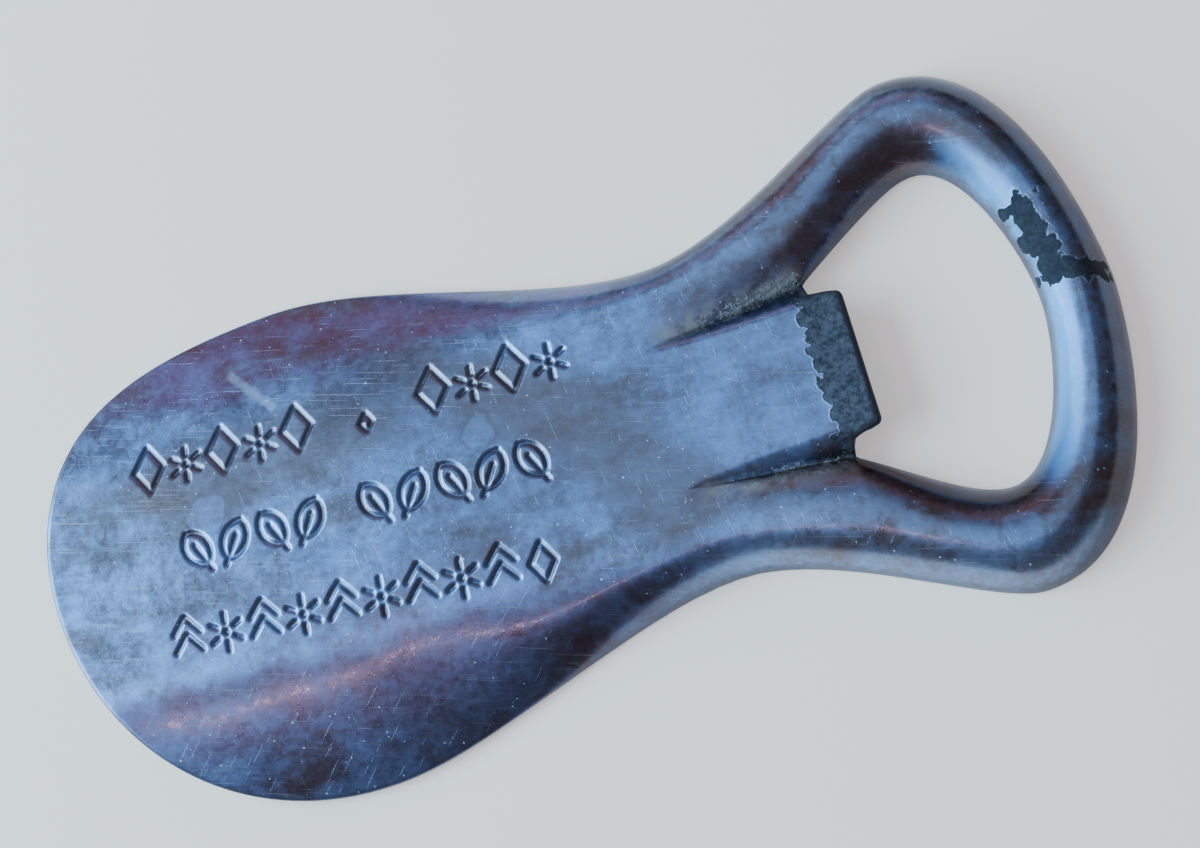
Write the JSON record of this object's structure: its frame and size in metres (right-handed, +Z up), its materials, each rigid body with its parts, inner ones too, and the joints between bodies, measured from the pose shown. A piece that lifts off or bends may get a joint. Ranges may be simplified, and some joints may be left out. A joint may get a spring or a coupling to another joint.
{
  "type": "pocket shoehorn bottle opener",
  "caption": "Pocket shoehorn pressed from plated steel sheet, with a rolled-rim crown-cap opener loop and a flat catching tongue at its narrow end.",
  "frame": {"origin": "middle of the length on the centreline, on the plane that the lower edges rest on", "axes": "+X along the length towards the bow of the opener loop, +Y to the left rail, +Z up out of the crowned face"},
  "size_m": [0.105, 0.0502, 0.0052],
  "materials": {
    "plated_steel": "worn satin nickel plating, clouded, scratched and chipped to bare steel at the tongue and the bow"
  },
  "bodies": {
    "root": {"shoehorn_blade": "plated_steel", "waist": "plated_steel", "left_rail": "plated_steel", "right_rail": "plated_steel", "bow": "plated_steel", "tongue": "plated_steel"}
  },
  "joints": []
}
